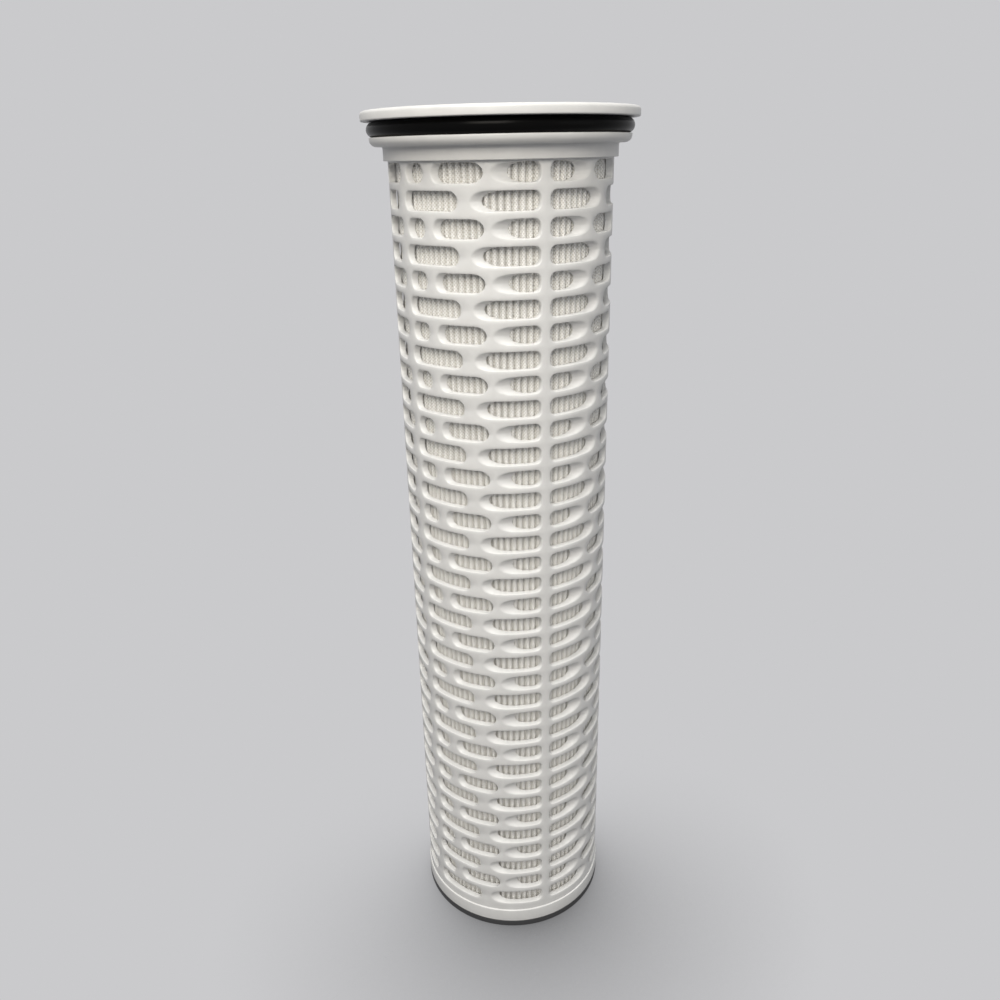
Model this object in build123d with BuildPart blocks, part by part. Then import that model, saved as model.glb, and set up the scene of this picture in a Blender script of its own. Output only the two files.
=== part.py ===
from build123d import *
from math import cos, degrees, pi, radians, sin
import os

# High flow filter cartridge standing on its closed end, open end up. Millimetres.
# The axis is Z. The origin is on the axis, at the underside of the base pad.

# Heights of the stack, from the floor up
base_pad_height = 5.5
bottom_rim_height = 11.6
ledge_to_slots = 7.6
slot_band_height = 585.4
slots_to_sleeve = 1.0
sleeve_height = 8.7
lip_height = 5.6
groove_height = 9.8
flange_height = 6.2

# Outer cage. The wall has flat sides, narrow enough to read as round.
cage_radius = 76.0
cage_wall = 4.2
cage_sides = 24
cage_socket_step = 1.1
cage_end_in_sleeve = 6.0
slot_rows = 16
# The real cage has 36 finer rows with the same share of open wall
open_share = 0.73
spine_width = 6.5
# One parting spine faces a little right of the front, the other is opposite
spine_turn = -68.95
# Degrees of slot and of rib, from the spine to the middle of each mould half
long_row_slots = [33.4, 33.05, 17.3]
long_row_ribs = [6.25, 6.2]
short_row_slots = [23.8, 26.1, 12.5, 23.9]
short_row_ribs = [3.6, 4.9, 4.7]

# Top end cap
flange_radius = 92.5
lip_radius = 87.5
lip_edge = 3.6
sleeve_wall = 2.8
groove_floor_radius = 79.3
recess_wall = 4.0
cap_web = 3.0
inlet_radius = 44.0

# Bottom end cap and base pad, with as many flat sides as the cage
rim_wall = 2.0
bottom_socket_depth = 6.0

# O-ring
cord_diameter = 9.6
cord_sides = 8

# Pleated pack: netting, filter sheet and netting, folded together as one sheet
pleat_count = 96
pleat_gap = 0.6
sheet_thickness = 0.8
pleat_root_radius = 47.0

# Inner core
core_radius = 45.5
core_wall = 2.5
core_sides = 12
core_window_rows = 4
core_window_width = 12.0
core_window_height = 110.0

# Room left between pieces that slide together
fit_clearance = 0.1

# Levels and radii that follow from the sizes above
ledge_z = base_pad_height + bottom_rim_height
socket_floor_z = ledge_z - bottom_socket_depth
first_slot_z = ledge_z + ledge_to_slots
sleeve_z = first_slot_z + slot_band_height + slots_to_sleeve
lip_z = sleeve_z + sleeve_height
groove_z = lip_z + lip_height
flange_z = groove_z + groove_height
top_z = flange_z + flange_height
web_z = sleeve_z + cage_end_in_sleeve
# A flat side of the tube lies on each spine
flat_turn = spine_turn + 180 / cage_sides
row_spacing = slot_band_height / (slot_rows - 1 + open_share)
slot_height = open_share * row_spacing
cage_bore = cage_radius - cage_wall
cage_clear_bore = cage_bore * cos(pi / cage_sides)
socket_radius = cage_radius - cage_socket_step + fit_clearance
rim_radius = socket_radius + rim_wall
sleeve_bore = cage_radius + fit_clearance
sleeve_radius = sleeve_bore + sleeve_wall
pack_height = web_z - socket_floor_z
cord_middle_radius = groove_floor_radius + fit_clearance + cord_diameter / 2


def row_slots(slots, ribs):
    """Both sides of each slot in one row, across the mould half and counted from its middle."""
    edge = 90 - degrees(spine_width / 2 / cage_radius)
    pairs = []
    for slot, rib in zip(slots, ribs):
        pairs.append([cage_radius * sin(radians(edge - slot)), cage_radius * sin(radians(edge))])
        edge -= slot + rib
    # The slot beside the spine runs out past the tube
    pairs[0][1] = cage_radius + cage_wall
    middle = cage_radius * sin(radians(slots[-1] / 2))
    mirrored = [[-right, -left] for left, right in pairs]
    return pairs + [[-middle, middle]] + mirrored


def fold_points(tip, root):
    """Corners of a pleated outline that runs once round the axis."""
    points = []
    for pleat in range(pleat_count):
        at_tip = 2 * pi * pleat / pleat_count
        at_root = at_tip + pi / pleat_count
        points.append((tip * cos(at_tip), tip * sin(at_tip)))
        points.append((root * cos(at_root), root * sin(at_root)))
    return points


# Base pad: the thin dark disc that the closed end stands on
with BuildPart() as base_pad:
    with BuildSketch():
        RegularPolygon(rim_radius, cage_sides, rotation=flat_turn)
    extrude(amount=base_pad_height)
base_pad.part.label = "base_pad"

# Bottom end cap: a closed cup, whose rim stands a little proud of the cage as a ledge
with BuildPart() as bottom_end_cap:
    with BuildSketch(Plane.XY.offset(base_pad_height)):
        RegularPolygon(rim_radius, cage_sides, rotation=flat_turn)
    extrude(amount=bottom_rim_height)
    with BuildSketch(Plane.XY.offset(socket_floor_z)):
        RegularPolygon(socket_radius, cage_sides, rotation=flat_turn)
    extrude(amount=bottom_socket_depth, mode=Mode.SUBTRACT)
bottom_end_cap.part.label = "bottom_end_cap"

# Outer cage: a tube whose slots all run in the draw direction of their mould half
with BuildPart() as outer_cage:
    with BuildSketch(Plane.XY.offset(socket_floor_z)):
        RegularPolygon(cage_radius - cage_socket_step, cage_sides, rotation=flat_turn)
    extrude(amount=ledge_z - socket_floor_z)
    with BuildSketch(Plane.XY.offset(ledge_z)):
        RegularPolygon(cage_radius, cage_sides, rotation=flat_turn)
    extrude(amount=web_z - ledge_z)
    with BuildSketch(Plane.XY.offset(socket_floor_z)):
        RegularPolygon(cage_bore, cage_sides, rotation=flat_turn)
    extrude(amount=pack_height, mode=Mode.SUBTRACT)
    for half_turn in (0, 180):
        draw = radians(spine_turn + 90 + half_turn)
        across = (-sin(draw), cos(draw), 0)
        outward = (cos(draw), sin(draw), 0)
        spine_side = (spine_width / 2 * cos(draw), spine_width / 2 * sin(draw), 0)
        with BuildSketch(Plane(origin=spine_side, x_dir=across, z_dir=outward)):
            for first_row, slots, ribs in (
                (0, long_row_slots, long_row_ribs),
                (1, short_row_slots, short_row_ribs),
            ):
                middles = [
                    first_slot_z + slot_height / 2 + row * row_spacing
                    for row in range(first_row, slot_rows, 2)
                ]
                for left, right in row_slots(slots, ribs):
                    with Locations([((left + right) / 2, z) for z in middles]):
                        Rectangle(right - left, slot_height)
        extrude(amount=cage_radius, mode=Mode.SUBTRACT)
outer_cage.part.label = "outer_cage"

# Top end cap: open at the middle, with the flange, O-ring groove, lip and sleeve in one turning
with BuildPart() as top_end_cap:
    with BuildSketch(Plane.XZ):
        with BuildLine():
            Polyline(
                (inlet_radius, web_z),
                (sleeve_bore, web_z),
                (sleeve_bore, sleeve_z),
                (sleeve_radius, sleeve_z),
                (sleeve_radius, lip_z),
                (lip_radius - lip_edge, lip_z),
                (lip_radius, lip_z + lip_edge),
                (lip_radius, groove_z),
                (groove_floor_radius, groove_z),
                (groove_floor_radius, flange_z),
                (flange_radius, flange_z),
                (flange_radius, top_z),
                (groove_floor_radius - recess_wall, top_z),
                (groove_floor_radius - recess_wall, web_z + cap_web),
                (inlet_radius, web_z + cap_web),
                close=True,
            )
        make_face()
    revolve(axis=Axis.Z)
top_end_cap.part.label = "top_end_cap"

# O-ring: it sits on the lip, against the floor of the groove
with BuildPart() as flange_o_ring:
    with BuildSketch(Plane.XZ):
        with Locations((cord_middle_radius, groove_z + cord_diameter / 2)):
            RegularPolygon(
                cord_diameter / 2,
                cord_sides,
                major_radius=False,
                rotation=180 / cord_sides,
            )
    revolve(axis=Axis.Z)
flange_o_ring.part.label = "flange_o_ring"

# Pleated pack: one folded sheet, its folds just clear of the cage and of the core
half_fold = pi / pleat_count
pleat_tip_radius = cage_clear_bore - pleat_gap
fold_lean = pleat_tip_radius * sin(half_fold) / (pleat_tip_radius - pleat_root_radius)
fold_thickness = sheet_thickness / fold_lean
with BuildPart() as pleated_pack:
    with BuildSketch(Plane.XY.offset(socket_floor_z)):
        with BuildLine():
            Polyline(*fold_points(pleat_tip_radius, pleat_root_radius + fold_thickness), close=True)
        make_face()
        with BuildLine():
            Polyline(*fold_points(pleat_tip_radius - fold_thickness, pleat_root_radius), close=True)
        make_face(mode=Mode.SUBTRACT)
    extrude(amount=pack_height)
pleated_pack.part.label = "pleated_pack"

# Inner core: a tube with a column of tall windows in every second flat side
window_spacing = pack_height / core_window_rows
with BuildPart() as inner_core:
    with BuildSketch(Plane.XY.offset(socket_floor_z)):
        RegularPolygon(core_radius, core_sides)
        RegularPolygon(core_radius - core_wall, core_sides, mode=Mode.SUBTRACT)
    extrude(amount=pack_height)
    for side in range(0, core_sides, 2):
        turn = 2 * pi * (side + 0.5) / core_sides
        face = Plane(origin=(0, 0, 0), x_dir=(-sin(turn), cos(turn), 0), z_dir=(cos(turn), sin(turn), 0))
        middles = [socket_floor_z + (row + 0.5) * window_spacing for row in range(core_window_rows)]
        with BuildSketch(face):
            with Locations([(0, z) for z in middles]):
                Rectangle(core_window_width, core_window_height)
        extrude(amount=core_radius, mode=Mode.SUBTRACT)
inner_core.part.label = "inner_core"

os.makedirs("parts", exist_ok=True)
export_step(base_pad.part, "parts/base_pad.step")
export_step(bottom_end_cap.part, "parts/bottom_end_cap.step")
export_step(outer_cage.part, "parts/outer_cage.step")
export_step(top_end_cap.part, "parts/top_end_cap.step")
export_step(flange_o_ring.part, "parts/flange_o_ring.step")
export_step(pleated_pack.part, "parts/pleated_pack.step")
export_step(inner_core.part, "parts/inner_core.step")
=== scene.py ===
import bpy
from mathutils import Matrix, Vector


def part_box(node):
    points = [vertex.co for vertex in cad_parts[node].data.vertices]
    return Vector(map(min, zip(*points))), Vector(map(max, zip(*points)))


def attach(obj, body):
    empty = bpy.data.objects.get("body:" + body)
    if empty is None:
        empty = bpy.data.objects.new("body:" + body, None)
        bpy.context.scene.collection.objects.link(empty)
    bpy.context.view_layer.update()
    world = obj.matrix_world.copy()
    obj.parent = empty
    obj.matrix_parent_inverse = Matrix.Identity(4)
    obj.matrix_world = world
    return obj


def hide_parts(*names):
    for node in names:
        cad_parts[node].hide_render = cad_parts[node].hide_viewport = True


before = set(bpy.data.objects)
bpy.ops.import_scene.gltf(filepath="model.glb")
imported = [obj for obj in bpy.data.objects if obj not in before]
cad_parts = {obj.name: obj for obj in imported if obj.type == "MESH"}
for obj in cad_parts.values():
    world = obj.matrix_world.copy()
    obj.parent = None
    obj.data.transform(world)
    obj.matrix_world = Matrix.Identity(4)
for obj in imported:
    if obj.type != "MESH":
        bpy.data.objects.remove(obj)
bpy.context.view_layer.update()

import math
import random

import bmesh
import bpy
from mathutils import Matrix, Vector
from mathutils.geometry import delaunay_2d_cdt

MM = 0.001

# Sizes in millimetres, as the real cartridge has them
CAGE_RADIUS = 76.0
CAGE_WALL = 4.2
BORE_RADIUS = CAGE_RADIUS - CAGE_WALL
SOCKET_STEP = 1.1
ROWS = 36
ROW_PITCH = 16.386
SLOT_HEIGHT = 11.9
SPINE_WIDTH = 6.5
SPINE_TURN = math.radians(-68.95)
LONG_ROW_SLOTS = [33.4, 33.05, 17.3]
LONG_ROW_RIBS = [6.25, 6.2]
SHORT_ROW_SLOTS = [23.8, 26.1, 12.5, 23.9]
SHORT_ROW_RIBS = [3.6, 4.9, 4.7]
# How far a slot's soft edge opens out at the surface, and how deep that edge goes
SLOT_FLARE = 0.55
SLOT_EDGE_DEPTH = 1.0
END_CORNER = 5.9
# Across the draw, only the slots beside a spine have fully rounded ends
MIDDLE_END_REACH = 4.4
SPINE_CORNER = 4.4
# Pleats: netting on both sides of the sheet nearly fills the room between the folds
PLEATS = 96
PLEAT_TIP = 71.1
PLEAT_ROOT = 48.5
PLEAT_MIDDLE = 60.0
# Below the shoulder, neighbouring folds press against each other
PLEAT_SHOULDER = 68.8
FOLD_RADIUS = 1.45
VALLEY_GAP = 0.1
# Inner core, a round tube with six columns of windows
CORE_RADIUS = 45.4
CORE_WALL = 2.5
CORE_COLUMNS = 6
CORE_ROWS = 4
CORE_WINDOW_WIDTH = 12.0
CORE_WINDOW_HEIGHT = 110.0

# Levels read from the frame, in millimetres
PAD_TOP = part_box("base_pad")[1][2] / MM
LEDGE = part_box("bottom_end_cap")[1][2] / MM
CAGE_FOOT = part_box("outer_cage")[0][2] / MM
CAGE_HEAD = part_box("outer_cage")[1][2] / MM
SLEEVE_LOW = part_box("top_end_cap")[0][2] / MM
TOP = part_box("top_end_cap")[1][2] / MM
RING_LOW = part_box("flange_o_ring")[0][2] / MM
RING_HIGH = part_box("flange_o_ring")[1][2] / MM
RIM_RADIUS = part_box("bottom_end_cap")[1][0] / MM
FLANGE_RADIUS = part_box("top_end_cap")[1][0] / MM
RING_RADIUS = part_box("flange_o_ring")[1][0] / MM
FIRST_SLOT = LEDGE + 7.6
TILE_LOW = FIRST_SLOT - (ROW_PITCH - SLOT_HEIGHT) / 2


def add_object(name, verts, faces):
    """A smooth mesh object from millimetre points."""
    mesh = bpy.data.meshes.new(name)
    mesh.from_pydata([(x * MM, y * MM, z * MM) for x, y, z in verts], [], faces)
    mesh.validate()
    mesh.shade_smooth()
    obj = bpy.data.objects.new(name, mesh)
    bpy.context.scene.collection.objects.link(obj)
    return obj


def rounded(points, radii, steps=5):
    """A closed outline whose corners are arcs."""
    out = []
    count = len(points)
    for i, (corner, radius) in enumerate(zip(points, radii)):
        here = Vector(corner)
        if radius == 0:
            out.append(tuple(here))
            continue
        back = (Vector(points[i - 1]) - here).normalized()
        ahead = (Vector(points[(i + 1) % count]) - here).normalized()
        half = back.angle(ahead) / 2
        reach = radius / math.tan(half)
        centre = here + (back + ahead).normalized() * radius / math.sin(half)
        start = here + back * reach - centre
        end = here + ahead * reach - centre
        turn = start.angle_signed(end)
        for k in range(steps + 1):
            angle = -turn * k / steps
            c, s = math.cos(angle), math.sin(angle)
            out.append((centre.x + start.x * c - start.y * s, centre.y + start.x * s + start.y * c))
    return out


def lathe(name, outline, turns=192):
    """A closed outline of radius and height, turned about the axis."""
    verts = []
    for k in range(turns):
        angle = 2 * math.pi * k / turns
        verts += [(r * math.cos(angle), r * math.sin(angle), z) for r, z in outline]
    n = len(outline)
    faces = []
    for k in range(turns):
        a, b = k * n, ((k + 1) % turns) * n
        for i in range(n):
            j = (i + 1) % n
            faces.append((a + i, b + i, b + j, a + j))
    obj = add_object(name, verts, faces)
    if min(r for r, _ in outline) == 0:
        weld(obj)
    obj.data.set_sharp_from_angle(angle=math.radians(40))
    return obj


# The cage


def slot_ends(slots, ribs):
    """Each slot of a row as its two ends in radians, with True at an end beside a spine."""
    edge = 90 - math.degrees(SPINE_WIDTH / 2 / CAGE_RADIUS)
    found = []
    for i, (slot, rib) in enumerate(zip(slots, ribs)):
        found.append((math.radians(edge - slot), False, math.radians(edge), i == 0))
        edge -= slot + rib
    middle = math.radians(slots[-1] / 2)
    mirrored = [(-high, spine, -low, False) for low, _, high, spine in found]
    return found + [(-middle, False, middle, False)] + mirrored


def slot_outline(low, low_spine, high, high_spine, inset):
    """Points round a slot: angle outside, angle at the bore, height from the slot's middle."""
    half = SLOT_HEIGHT / 2 - inset
    points = []
    corners = 5
    along = 6

    def end(angle, spine, side):
        result = []
        corner = min(SPINE_CORNER if spine else END_CORNER, half)
        # At the bore, a rounded end stays clear of where the wall turns away at the spine
        room = math.sqrt(BORE_RADIUS**2 - (SPINE_WIDTH / 2) ** 2) - abs(CAGE_RADIUS * math.sin(angle))
        reach = END_CORNER if low_spine or high_spine else MIDDLE_END_REACH
        bore_corner = min(reach, 0.8 * room)
        outer_corner = min(reach, CAGE_RADIUS - abs(CAGE_RADIUS * math.sin(angle)) - 1.0)
        for k in range(2 * corners):
            bend = math.pi / 2 * (k % corners) / (corners - 1)
            if k < corners:
                back, rise = 1 - math.sin(bend), half - corner + corner * math.cos(bend)
            else:
                back, rise = 1 - math.cos(bend), -(half - corner + corner * math.sin(bend))
            if spine:
                outside = angle - side * (inset + corner * back) / CAGE_RADIUS
                inside = math.copysign(math.acos(CAGE_RADIUS * math.cos(outside) / BORE_RADIUS), outside)
            else:
                start = CAGE_RADIUS * math.sin(angle) - side * inset * 0.6
                outside = math.asin((start - side * outer_corner * back) / CAGE_RADIUS)
                inside = math.asin((start - side * bore_corner * back) / BORE_RADIUS)
            result.append((outside, inside, rise))
        return result

    right = end(high, high_spine, 1)
    left = end(low, low_spine, -1)[::-1]
    points += right
    for k in range(1, along):
        t = k / along
        a, b = right[-1], left[0]
        points.append((a[0] + (b[0] - a[0]) * t, a[1] + (b[1] - a[1]) * t, -half))
    points += left
    for k in range(1, along):
        t = k / along
        a, b = left[-1], right[0]
        points.append((a[0] + (b[0] - a[0]) * t, a[1] + (b[1] - a[1]) * t, half))
    return points


def sheet_tile(outlines, columns):
    """Triangles of one tile of wall, two rows high and half a turn wide, with the slots left open."""
    points = []
    edges = []
    steps = 4
    for k in range(columns + 1):
        angle = math.pi * (k / columns - 0.5)
        for level in (0, ROW_PITCH, 2 * ROW_PITCH):
            points.append((angle * CAGE_RADIUS, level))
    for side in (-1, 1):
        for k in range(1, 2 * steps):
            if k != steps:
                points.append((side * math.pi / 2 * CAGE_RADIUS, 2 * ROW_PITCH * k / (2 * steps)))
    grid = len(points)
    for outline in outlines:
        start = len(points)
        points += outline
        count = len(outline)
        edges += [(start + i, start + (i + 1) % count) for i in range(count)]
    owner = [-1] * grid
    for index, outline in enumerate(outlines):
        owner += [index] * len(outline)
    made = delaunay_2d_cdt([Vector(p) for p in points], edges, [], 0, 1e-5)
    triangles = []
    for face in made[2]:
        origin = [made[3][v][0] for v in face]
        owners = {owner[v] for v in origin}
        if len(owners) == 1 and owners != {-1}:
            continue
        triangles.append(tuple(origin))
    return points, triangles


def build_cage():
    columns = 60
    rings = []
    slots = []
    for row, (widths, ribs) in enumerate(
        ((LONG_ROW_SLOTS, LONG_ROW_RIBS), (SHORT_ROW_SLOTS, SHORT_ROW_RIBS))
    ):
        middle = ROW_PITCH * (row + 0.5)
        for ends in slot_ends(widths, ribs):
            slots.append((middle, ends))
    # Each ring: inset of the outline, depth below the outer surface
    profile = []
    for k in range(4):
        bend = math.pi / 2 * k / 3
        profile.append((-SLOT_FLARE * (1 - math.sin(bend)), SLOT_EDGE_DEPTH * (1 - math.cos(bend))))
    profile.append((0.0, CAGE_WALL))
    for inset, depth in profile:
        share = depth / CAGE_WALL
        ring = []
        for middle, ends in slots:
            ring.append(
                [
                    (outside + (bore - outside) * share, middle + rise)
                    for outside, bore, rise in slot_outline(*ends, inset)
                ]
            )
        rings.append(ring)
    flat = [[[(a * CAGE_RADIUS, z) for a, z in loop] for loop in ring] for ring in rings]
    outer_points, outer_faces = sheet_tile(flat[0], columns)
    inner_points, inner_faces = sheet_tile(flat[-1], columns)

    verts = []
    faces = []

    def place(x, z, radius, turn, lift):
        angle = x / CAGE_RADIUS + turn
        return (radius * math.cos(angle), radius * math.sin(angle), TILE_LOW + lift + z)

    for pair in range(ROWS // 2):
        lift = 2 * ROW_PITCH * pair
        for half_turn in (0, math.pi):
            turn = SPINE_TURN + math.pi / 2 + half_turn
            start = len(verts)
            verts += [place(x, z, CAGE_RADIUS, turn, lift) for x, z in outer_points]
            faces += [tuple(start + v for v in face) for face in outer_faces]
            start = len(verts)
            verts += [place(x, z, BORE_RADIUS, turn, lift) for x, z in inner_points]
            faces += [tuple(start + v for v in reversed(face)) for face in inner_faces]
            for slot in range(len(slots)):
                base = len(verts)
                n = len(flat[0][slot])
                for (inset, depth), ring in zip(profile, flat):
                    radius = CAGE_RADIUS - depth
                    verts += [place(x, z, radius, turn, lift) for x, z in ring[slot]]
                for level in range(len(profile) - 1):
                    a = base + level * n
                    b = a + n
                    for i in range(n):
                        j = (i + 1) % n
                        faces.append((a + i, a + j, b + j, b + i))

    # Plain bands below and above the slots
    turns = 2 * columns
    tile_top = TILE_LOW + ROWS * ROW_PITCH

    def band(profile_points):
        base = len(verts)
        n = len(profile_points)
        for k in range(turns):
            angle = SPINE_TURN + 2 * math.pi * k / turns
            for r, z in profile_points:
                verts.append((r * math.cos(angle), r * math.sin(angle), z))
        for k in range(turns):
            a, b = base + k * n, base + ((k + 1) % turns) * n
            for i in range(n - 1):
                faces.append((a + i, a + i + 1, b + i + 1, b + i))

    foot = CAGE_RADIUS - SOCKET_STEP
    band(
        [
            (CAGE_RADIUS, TILE_LOW),
            (CAGE_RADIUS, LEDGE),
            (foot, LEDGE),
            (foot, CAGE_FOOT),
            (BORE_RADIUS, CAGE_FOOT),
            (BORE_RADIUS, TILE_LOW),
        ]
    )
    band(
        [
            (BORE_RADIUS, tile_top),
            (BORE_RADIUS, CAGE_HEAD),
            (CAGE_RADIUS, CAGE_HEAD),
            (CAGE_RADIUS, tile_top),
        ]
    )
    cage = add_object("slotted_cage", verts, faces)
    weld(cage)
    cage.data.set_sharp_from_angle(angle=math.radians(50))
    return cage


def weld(obj):
    work = bmesh.new()
    work.from_mesh(obj.data)
    bmesh.ops.remove_doubles(work, verts=work.verts, dist=0.02 * MM)
    bmesh.ops.recalc_face_normals(work, faces=work.faces)
    work.to_mesh(obj.data)
    work.free()
    obj.data.shade_smooth()


# The pleated pack


def pleat_section():
    """One pleat across: distance to the side of its middle, radius, and distance along the sheet."""
    spacing = 2 * math.pi / PLEATS
    levels = (PLEAT_ROOT, PLEAT_MIDDLE, PLEAT_SHOULDER)
    leg = [(radius, (spacing * radius - VALLEY_GAP) / 2) for radius in levels]
    section = [(-half, radius) for radius, half in leg]
    for k in range(9):
        bend = math.pi * (k / 8 - 0.5)
        section.append((FOLD_RADIUS * math.sin(bend), PLEAT_TIP - FOLD_RADIUS * (1 - math.cos(bend))))
    section += [(half, radius) for radius, half in reversed(leg)]
    run = [0.0]
    for (x0, r0), (x1, r1) in zip(section, section[1:]):
        run.append(run[-1] + math.hypot(x1 - x0, r1 - r0))
    return [(x, radius, along) for (x, radius), along in zip(section, run)]


def build_pleats():
    """The folded sheet, with its folds a little uneven, and a map in millimetres for the netting."""
    chance = random.Random(7)
    levels = 40
    section = pleat_section()
    pleat_run = section[-1][2] + VALLEY_GAP
    spacing = 2 * math.pi / PLEATS
    sway = [chance.uniform(0, 2 * math.pi) for _ in range(4)]
    sink = [(chance.uniform(-0.5, 0), chance.uniform(0, 2 * math.pi)) for _ in range(PLEATS)]
    verts = []
    places = []
    for level in range(levels + 1):
        z = CAGE_FOOT + (CAGE_HEAD - CAGE_FOOT) * level / levels
        for pleat in range(PLEATS):
            centre = spacing * pleat
            shift = sum(math.sin(z / (60 + 25 * i) + (i + 1) * centre + turn) for i, turn in enumerate(sway))
            amount, phase = sink[pleat]
            drop = amount * (0.6 + 0.4 * math.sin(z / 95 + phase))
            for x, radius, along in section:
                share = (radius - PLEAT_ROOT) / (PLEAT_TIP - PLEAT_ROOT)
                r = radius + drop * share
                angle = centre + x / radius + 0.12 * shift * share / radius
                verts.append((r * math.cos(angle), r * math.sin(angle), z))
                places.append((pleat * pleat_run + along, z))
    n = len(section) * PLEATS
    faces = []
    for level in range(levels):
        a, b = level * n, (level + 1) * n
        for i in range(n):
            j = (i + 1) % n
            faces.append((a + i, a + j, b + j, b + i))
    obj = add_object("pleated_media", verts, faces)
    layer = obj.data.uv_layers.new(name="netting")
    for polygon in obj.data.polygons:
        corners = [obj.data.loops[i].vertex_index for i in polygon.loop_indices]
        closing = max(places[v][0] for v in corners) - min(places[v][0] for v in corners) > pleat_run
        for index, vertex in zip(polygon.loop_indices, corners):
            along, z = places[vertex]
            if closing and along < pleat_run:
                along += PLEATS * pleat_run
            layer.data[index].uv = (along, z)
    return obj


# The inner core


def build_core():
    """A round tube with rows of tall windows."""
    low, high = CAGE_FOOT, CAGE_HEAD
    row_spacing = (high - low) / CORE_ROWS
    window = CORE_WINDOW_WIDTH / CORE_RADIUS
    column_spacing = 2 * math.pi / CORE_COLUMNS
    first = math.pi / 12
    angles = []
    open_columns = set()
    for column in range(CORE_COLUMNS):
        centre = first + column * column_spacing
        for k in range(4):
            if k < 3:
                open_columns.add(len(angles))
            angles.append(centre + window * (k / 3 - 0.5))
        rest = column_spacing - window
        angles += [centre + window / 2 + rest * k / 8 for k in range(1, 8)]
    levels = [low]
    open_levels = set()
    for row in range(CORE_ROWS):
        middle = low + (row + 0.5) * row_spacing
        levels.append(middle - CORE_WINDOW_HEIGHT / 2)
        open_levels.add(len(levels) - 1)
        levels.append(middle + CORE_WINDOW_HEIGHT / 2)
    levels.append(high)
    count = len(angles)
    verts = []
    for radius in (CORE_RADIUS, CORE_RADIUS - CORE_WALL):
        for z in levels:
            verts += [(radius * math.cos(angle), radius * math.sin(angle), z) for angle in angles]
    inner = count * len(levels)

    def is_open(column, level):
        if level in (-1, len(levels) - 1):
            return True
        return column % count in open_columns and level in open_levels

    faces = []
    for level in range(len(levels) - 1):
        for column in range(count):
            if is_open(column, level):
                continue
            a, b = level * count + column, level * count + (column + 1) % count
            c, d = b + count, a + count
            faces += [(a, b, c, d), (inner + d, inner + c, inner + b, inner + a)]
            if is_open(column, level - 1):
                faces.append((b, a, inner + a, inner + b))
            if is_open(column, level + 1):
                faces.append((d, c, inner + c, inner + d))
            if is_open(column - 1, level):
                faces.append((a, d, inner + d, inner + a))
            if is_open(column + 1, level):
                faces.append((c, b, inner + b, inner + c))
    core = add_object("windowed_core", verts, faces)
    core.data.set_sharp_from_angle(angle=math.radians(40))
    return core


# Materials


def new_material(name, color, roughness):
    material = bpy.data.materials.new(name)
    material.use_nodes = True
    shader = material.node_tree.nodes["Principled BSDF"]
    shader.inputs["Base Color"].default_value = (*color, 1)
    shader.inputs["Roughness"].default_value = roughness
    return material, material.node_tree, shader


def add_bump(tree, shader, scale, distance, strength, detail=3):
    coords = tree.nodes.new("ShaderNodeTexCoord")
    noise = tree.nodes.new("ShaderNodeTexNoise")
    noise.inputs["Scale"].default_value = scale
    noise.inputs["Detail"].default_value = detail
    bump = tree.nodes.new("ShaderNodeBump")
    bump.inputs["Distance"].default_value = distance
    bump.inputs["Strength"].default_value = strength
    tree.links.new(coords.outputs["Object"], noise.inputs["Vector"])
    tree.links.new(noise.outputs["Fac"], bump.inputs["Height"])
    tree.links.new(bump.outputs["Normal"], shader.inputs["Normal"])
    return coords, noise


def vary(tree, shader, source, socket, low, high):
    ramp = tree.nodes.new("ShaderNodeMapRange")
    ramp.inputs["To Min"].default_value = low
    ramp.inputs["To Max"].default_value = high
    tree.links.new(source, ramp.inputs["Value"])
    tree.links.new(ramp.outputs["Result"], shader.inputs[socket])


def vary_color(tree, shader, source, dark, light, start=0.3, end=0.7):
    ramp = tree.nodes.new("ShaderNodeValToRGB")
    ramp.color_ramp.elements[0].color = (*dark, 1)
    ramp.color_ramp.elements[1].color = (*light, 1)
    ramp.color_ramp.elements[0].position = start
    ramp.color_ramp.elements[1].position = end
    tree.links.new(source, ramp.inputs["Fac"])
    tree.links.new(ramp.outputs["Color"], shader.inputs["Base Color"])


def white_plastic():
    material, tree, shader = new_material("white_plastic_moulded", (0.8, 0.795, 0.78), 0.42)
    _, noise = add_bump(tree, shader, 90, 0.0003, 0.25)
    vary(tree, shader, noise.outputs["Fac"], "Roughness", 0.36, 0.5)
    vary_color(tree, shader, noise.outputs["Fac"], (0.69, 0.69, 0.68), (0.73, 0.73, 0.72))
    return material


def black_rubber():
    material, tree, shader = new_material("black_rubber_ring", (0.003, 0.003, 0.003), 0.25)
    shader.inputs["Specular IOR Level"].default_value = 0.05
    _, noise = add_bump(tree, shader, 260, 0.0002, 0.2)
    vary(tree, shader, noise.outputs["Fac"], "Roughness", 0.18, 0.3)
    return material


# Painted shade: a dark pad under the closed cap, its colour standing in for the shadow along the cap's lower
# edge
def dark_pad():
    material, tree, shader = new_material("pad_painted_as_shade", (0.05, 0.05, 0.052), 0.6)
    _, noise = add_bump(tree, shader, 200, 0.0002, 0.3)
    vary(tree, shader, noise.outputs["Fac"], "Roughness", 0.5, 0.7)
    return material


def wave(tree, combine, u, v, period):
    """A sine across the sheet's map, along one diagonal."""
    total = tree.nodes.new("ShaderNodeMath")
    total.operation = combine
    tree.links.new(u, total.inputs[0])
    tree.links.new(v, total.inputs[1])
    scaled = tree.nodes.new("ShaderNodeMath")
    scaled.operation = "MULTIPLY"
    scaled.inputs[1].default_value = 2 * math.pi / period
    tree.links.new(total.outputs[0], scaled.inputs[0])
    sine = tree.nodes.new("ShaderNodeMath")
    sine.operation = "SINE"
    tree.links.new(scaled.outputs[0], sine.inputs[0])
    return sine.outputs[0]


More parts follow.
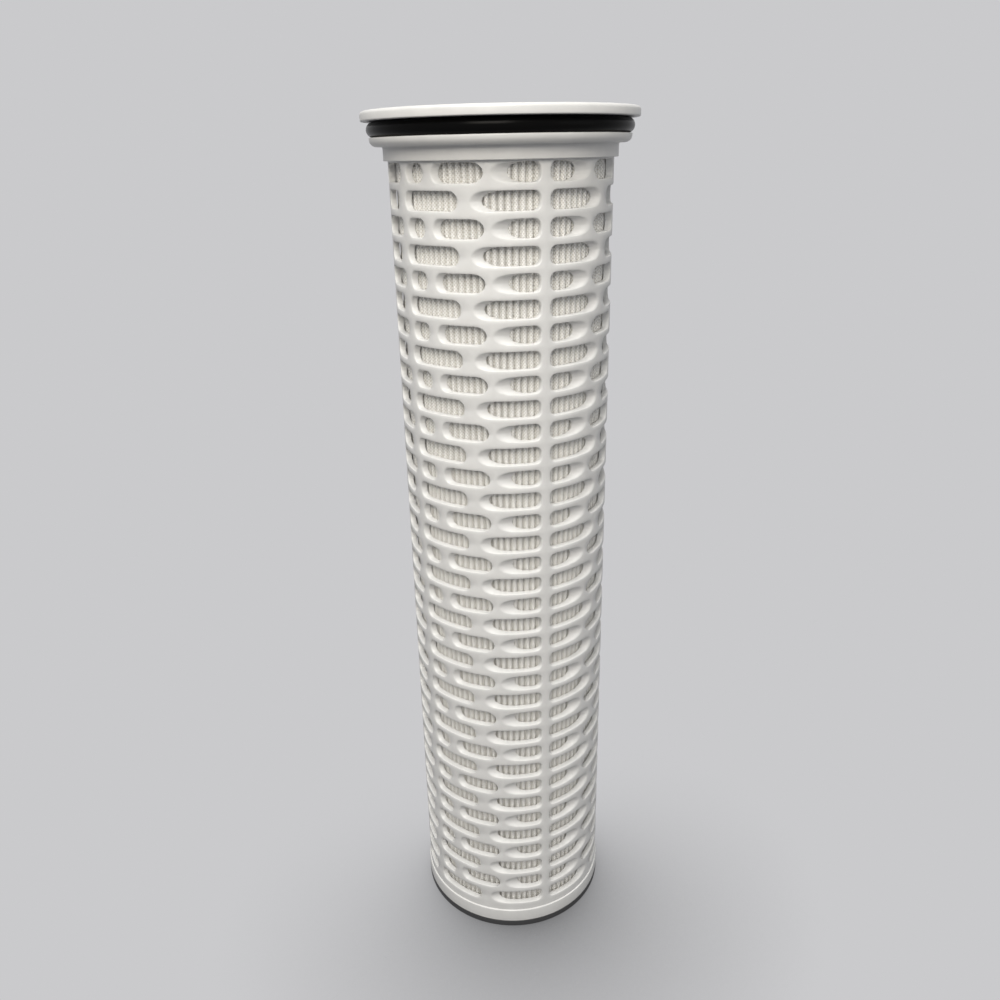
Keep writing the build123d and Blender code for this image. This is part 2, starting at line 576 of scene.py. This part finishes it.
def netting():
    """Fine diamond netting on ivory pleats, its threads crossing on the sheet's own map."""
    thread_period = 2.3
    material, tree, shader = new_material("pleat_netting_mesh", (0.78, 0.74, 0.66), 0.6)
    coords = tree.nodes.new("ShaderNodeTexCoord")
    split = tree.nodes.new("ShaderNodeSeparateXYZ")
    tree.links.new(coords.outputs["UV"], split.inputs["Vector"])
    u, v = split.outputs["X"], split.outputs["Y"]
    threads = tree.nodes.new("ShaderNodeMath")
    threads.operation = "MAXIMUM"
    tree.links.new(wave(tree, "ADD", u, v, thread_period), threads.inputs[0])
    tree.links.new(wave(tree, "SUBTRACT", u, v, thread_period), threads.inputs[1])
    height = tree.nodes.new("ShaderNodeMapRange")
    height.inputs["From Min"].default_value = -1.0
    tree.links.new(threads.outputs[0], height.inputs["Value"])
    bump = tree.nodes.new("ShaderNodeBump")
    bump.inputs["Distance"].default_value = 0.0004
    bump.inputs["Strength"].default_value = 0.8
    tree.links.new(height.outputs["Result"], bump.inputs["Height"])
    tree.links.new(bump.outputs["Normal"], shader.inputs["Normal"])
    vary_color(tree, shader, height.outputs["Result"], (0.76, 0.745, 0.70), (0.99, 0.985, 0.97), 0.55, 0.95)
    vary(tree, shader, height.outputs["Result"], "Roughness", 0.75, 0.5)
    return material


def dress(obj, material, slot_name, *nodes):
    obj.data.materials.clear()
    obj.data.materials.append(material)
    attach(obj, "root")
    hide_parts(*nodes)


white = white_plastic()
rubber = black_rubber()

dress(build_cage(), white, "white_plastic", "outer_cage")
dress(build_pleats(), netting(), "pleat_netting", "pleated_pack")
dress(build_core(), white, "white_plastic", "inner_core")

# Top cap: flange, groove, rounded lip and sleeve in one turning
GROOVE_FLOOR = RING_RADIUS - (RING_HIGH - RING_LOW)
LIP_RADIUS = 87.5
LIP_LOW = SLEEVE_LOW + 8.7
SLEEVE_RADIUS = 78.9
FLANGE_LOW = RING_LOW + 9.8
INLET_RADIUS = 44.0
RECESS_RADIUS = 75.3
WEB = 3.0
cap_outline = rounded(
    [
        (INLET_RADIUS, CAGE_HEAD),
        (CAGE_RADIUS + 0.1, CAGE_HEAD),
        (CAGE_RADIUS + 0.1, SLEEVE_LOW),
        (SLEEVE_RADIUS, SLEEVE_LOW),
        (SLEEVE_RADIUS, LIP_LOW),
        (LIP_RADIUS, LIP_LOW),
        (LIP_RADIUS, RING_LOW),
        (GROOVE_FLOOR, RING_LOW),
        (GROOVE_FLOOR, FLANGE_LOW),
        (FLANGE_RADIUS, FLANGE_LOW),
        (FLANGE_RADIUS, TOP),
        (RECESS_RADIUS, TOP),
        (RECESS_RADIUS, CAGE_HEAD + WEB),
        (INLET_RADIUS, CAGE_HEAD + WEB),
    ],
    [0.4, 0, 0.5, 0.7, 1.2, 4.6, 0.4, 0.5, 0.5, 0.8, 2.2, 1.2, 2.0, 0.8],
)
dress(lathe("flanged_cap", cap_outline), white, "white_plastic", "top_end_cap")

ring_radius = (RING_HIGH - RING_LOW) / 2
ring_outline = [
    (
        RING_RADIUS - ring_radius + ring_radius * math.cos(2 * math.pi * k / 28),
        RING_LOW + ring_radius + ring_radius * math.sin(2 * math.pi * k / 28),
    )
    for k in range(28)
]
dress(lathe("rubber_ring", ring_outline), rubber, "black_rubber", "flange_o_ring")

SOCKET = CAGE_RADIUS - SOCKET_STEP + 0.1
end_outline = rounded(
    [
        (0, PAD_TOP),
        (RIM_RADIUS, PAD_TOP),
        (RIM_RADIUS, LEDGE),
        (SOCKET, LEDGE),
        (SOCKET, CAGE_FOOT),
        (0, CAGE_FOOT),
    ],
    [0, 0.4, 0.9, 0.3, 0.3, 0],
)
dress(lathe("closed_cap", end_outline), white, "white_plastic", "bottom_end_cap")
# The dark foot pad is painted shade: its colour stands in for the shadow under the closed cap's lower edge
pad_outline = rounded(
    [(0, 0), (RIM_RADIUS, 0), (RIM_RADIUS, PAD_TOP), (0, PAD_TOP)], [0, 0.5, 0.5, 0]
)
dress(lathe("painted_shade_foot", pad_outline), dark_pad(), "dark_pad", "base_pad")

# Floor and world
BACKDROP = (0.591, 0.591, 0.604)
FLOOR_BOUNCE = (0.18, 0.18, 0.19)
FLOOR_SIZE = 20.0
SHADOW_REACH = 0.2
SHADOW_FLOOR = 0.0
SHADOW_LEAN = (-0.3, 1.15, 0.8)
WORLD_LIGHT = 0.4


def seen_directly(tree):
    """A value of 1 for what the camera, a reflection or a look through glass meets first."""
    path = tree.nodes.new("ShaderNodeLightPath")
    total = path.outputs["Is Camera Ray"]
    for name in ("Is Glossy Ray", "Is Transmission Ray"):
        either = tree.nodes.new("ShaderNodeMath")
        either.operation = "MAXIMUM"
        tree.links.new(total, either.inputs[0])
        tree.links.new(path.outputs[name], either.inputs[1])
        total = either.outputs[0]
    return total


def floor_material():
    """Pale paint in the backdrop's colour, darkened only where the object hides it from the sky."""
    material, tree, shader = new_material("floor_paint", FLOOR_BOUNCE, 0.9)
    shader.inputs["Specular IOR Level"].default_value = 0.0
    shade = tree.nodes.new("ShaderNodeAmbientOcclusion")
    shade.samples = 16
    shade.inputs["Distance"].default_value = SHADOW_REACH
    lean = tree.nodes.new("ShaderNodeNormal")
    lean.outputs["Normal"].default_value = Vector(SHADOW_LEAN).normalized()
    tree.links.new(lean.outputs["Normal"], shade.inputs["Normal"])
    depth = tree.nodes.new("ShaderNodeMapRange")
    depth.inputs["To Min"].default_value = SHADOW_FLOOR
    tree.links.new(shade.outputs["AO"], depth.inputs["Value"])
    seen = tree.nodes.new("ShaderNodeEmission")
    seen.inputs["Color"].default_value = (*BACKDROP, 1)
    tree.links.new(depth.outputs["Result"], seen.inputs["Strength"])
    mix = tree.nodes.new("ShaderNodeMixShader")
    tree.links.new(seen_directly(tree), mix.inputs["Fac"])
    tree.links.new(shader.outputs["BSDF"], mix.inputs[1])
    tree.links.new(seen.outputs["Emission"], mix.inputs[2])
    tree.links.new(mix.outputs["Shader"], tree.nodes["Material Output"].inputs["Surface"])
    return material


def plain_stage():
    mesh = bpy.data.meshes.new("floor")
    corners = [(-FLOOR_SIZE, -FLOOR_SIZE, 0), (FLOOR_SIZE, -FLOOR_SIZE, 0)]
    corners += [(FLOOR_SIZE, FLOOR_SIZE, 0), (-FLOOR_SIZE, FLOOR_SIZE, 0)]
    mesh.from_pydata(corners, [], [(0, 1, 2, 3)])
    floor = bpy.data.objects.new("floor", mesh)
    bpy.context.scene.collection.objects.link(floor)
    mesh.materials.append(floor_material())
    world = bpy.data.worlds.new("studio")
    bpy.context.scene.world = world
    world.use_nodes = True
    tree = world.node_tree
    light = tree.nodes["Background"]
    light.inputs["Color"].default_value = (1, 1, 1, 1)
    light.inputs["Strength"].default_value = WORLD_LIGHT
    seen = tree.nodes.new("ShaderNodeBackground")
    seen.inputs["Color"].default_value = (*BACKDROP, 1)
    mix = tree.nodes.new("ShaderNodeMixShader")
    tree.links.new(seen_directly(tree), mix.inputs["Fac"])
    tree.links.new(light.outputs["Background"], mix.inputs[1])
    tree.links.new(seen.outputs["Background"], mix.inputs[2])
    tree.links.new(mix.outputs["Shader"], tree.nodes["World Output"].inputs["Surface"])


def area_light(name, place, size, power, color):
    data = bpy.data.lights.new(name, "AREA")
    data.shape = "SQUARE"
    data.size = size
    data.energy = power
    data.color = color
    lamp = bpy.data.objects.new(name, data)
    lamp.location = place
    target = Vector((0, 0, 0.4))
    lamp.rotation_euler = (target - Vector(place)).to_track_quat("-Z", "Y").to_euler()
    bpy.context.scene.collection.objects.link(lamp)


plain_stage()
area_light("key_above", (-0.3, -1.1, 3.0), 1.2, 46, (1, 0.995, 0.99))
area_light("key_front", (-0.15, -1.0, 1.2), 0.6, 9, (1, 0.945, 0.85))
area_light("fill_right", (1.8, -0.9, 0.8), 1.2, 2, (0.94, 0.97, 1))

# Camera, fitted to the photograph's slot rows and silhouettes
FOCAL_PIXELS = 865.1
PICTURE_WIDTH = 1000
SENSOR = 36.0
PITCH = math.radians(21.98)
ROLL = math.radians(1.177)
YAW = math.radians(-0.484)
camera_data = bpy.data.cameras.new("camera")
camera_data.sensor_width = SENSOR
camera_data.lens = FOCAL_PIXELS / PICTURE_WIDTH * SENSOR
camera_data.clip_start = 0.02
camera = bpy.data.objects.new("camera", camera_data)
ahead_flat = Vector((math.sin(YAW), math.cos(YAW), 0))
right = Vector((math.cos(YAW), -math.sin(YAW), 0))
ahead = ahead_flat * math.cos(PITCH) - Vector((0, 0, math.sin(PITCH)))
up = ahead_flat * math.sin(PITCH) + Vector((0, 0, math.cos(PITCH)))
rolled_right = right * math.cos(ROLL) - up * math.sin(ROLL)
rolled_up = right * math.sin(ROLL) + up * math.cos(ROLL)
turn = Matrix((rolled_right, rolled_up, -ahead)).transposed().to_4x4()
camera.matrix_world = Matrix.Translation((0, -0.6281, 0.6161)) @ turn
bpy.context.scene.collection.objects.link(camera)
bpy.context.scene.camera = camera
bpy.context.scene.view_settings.view_transform = "Standard"
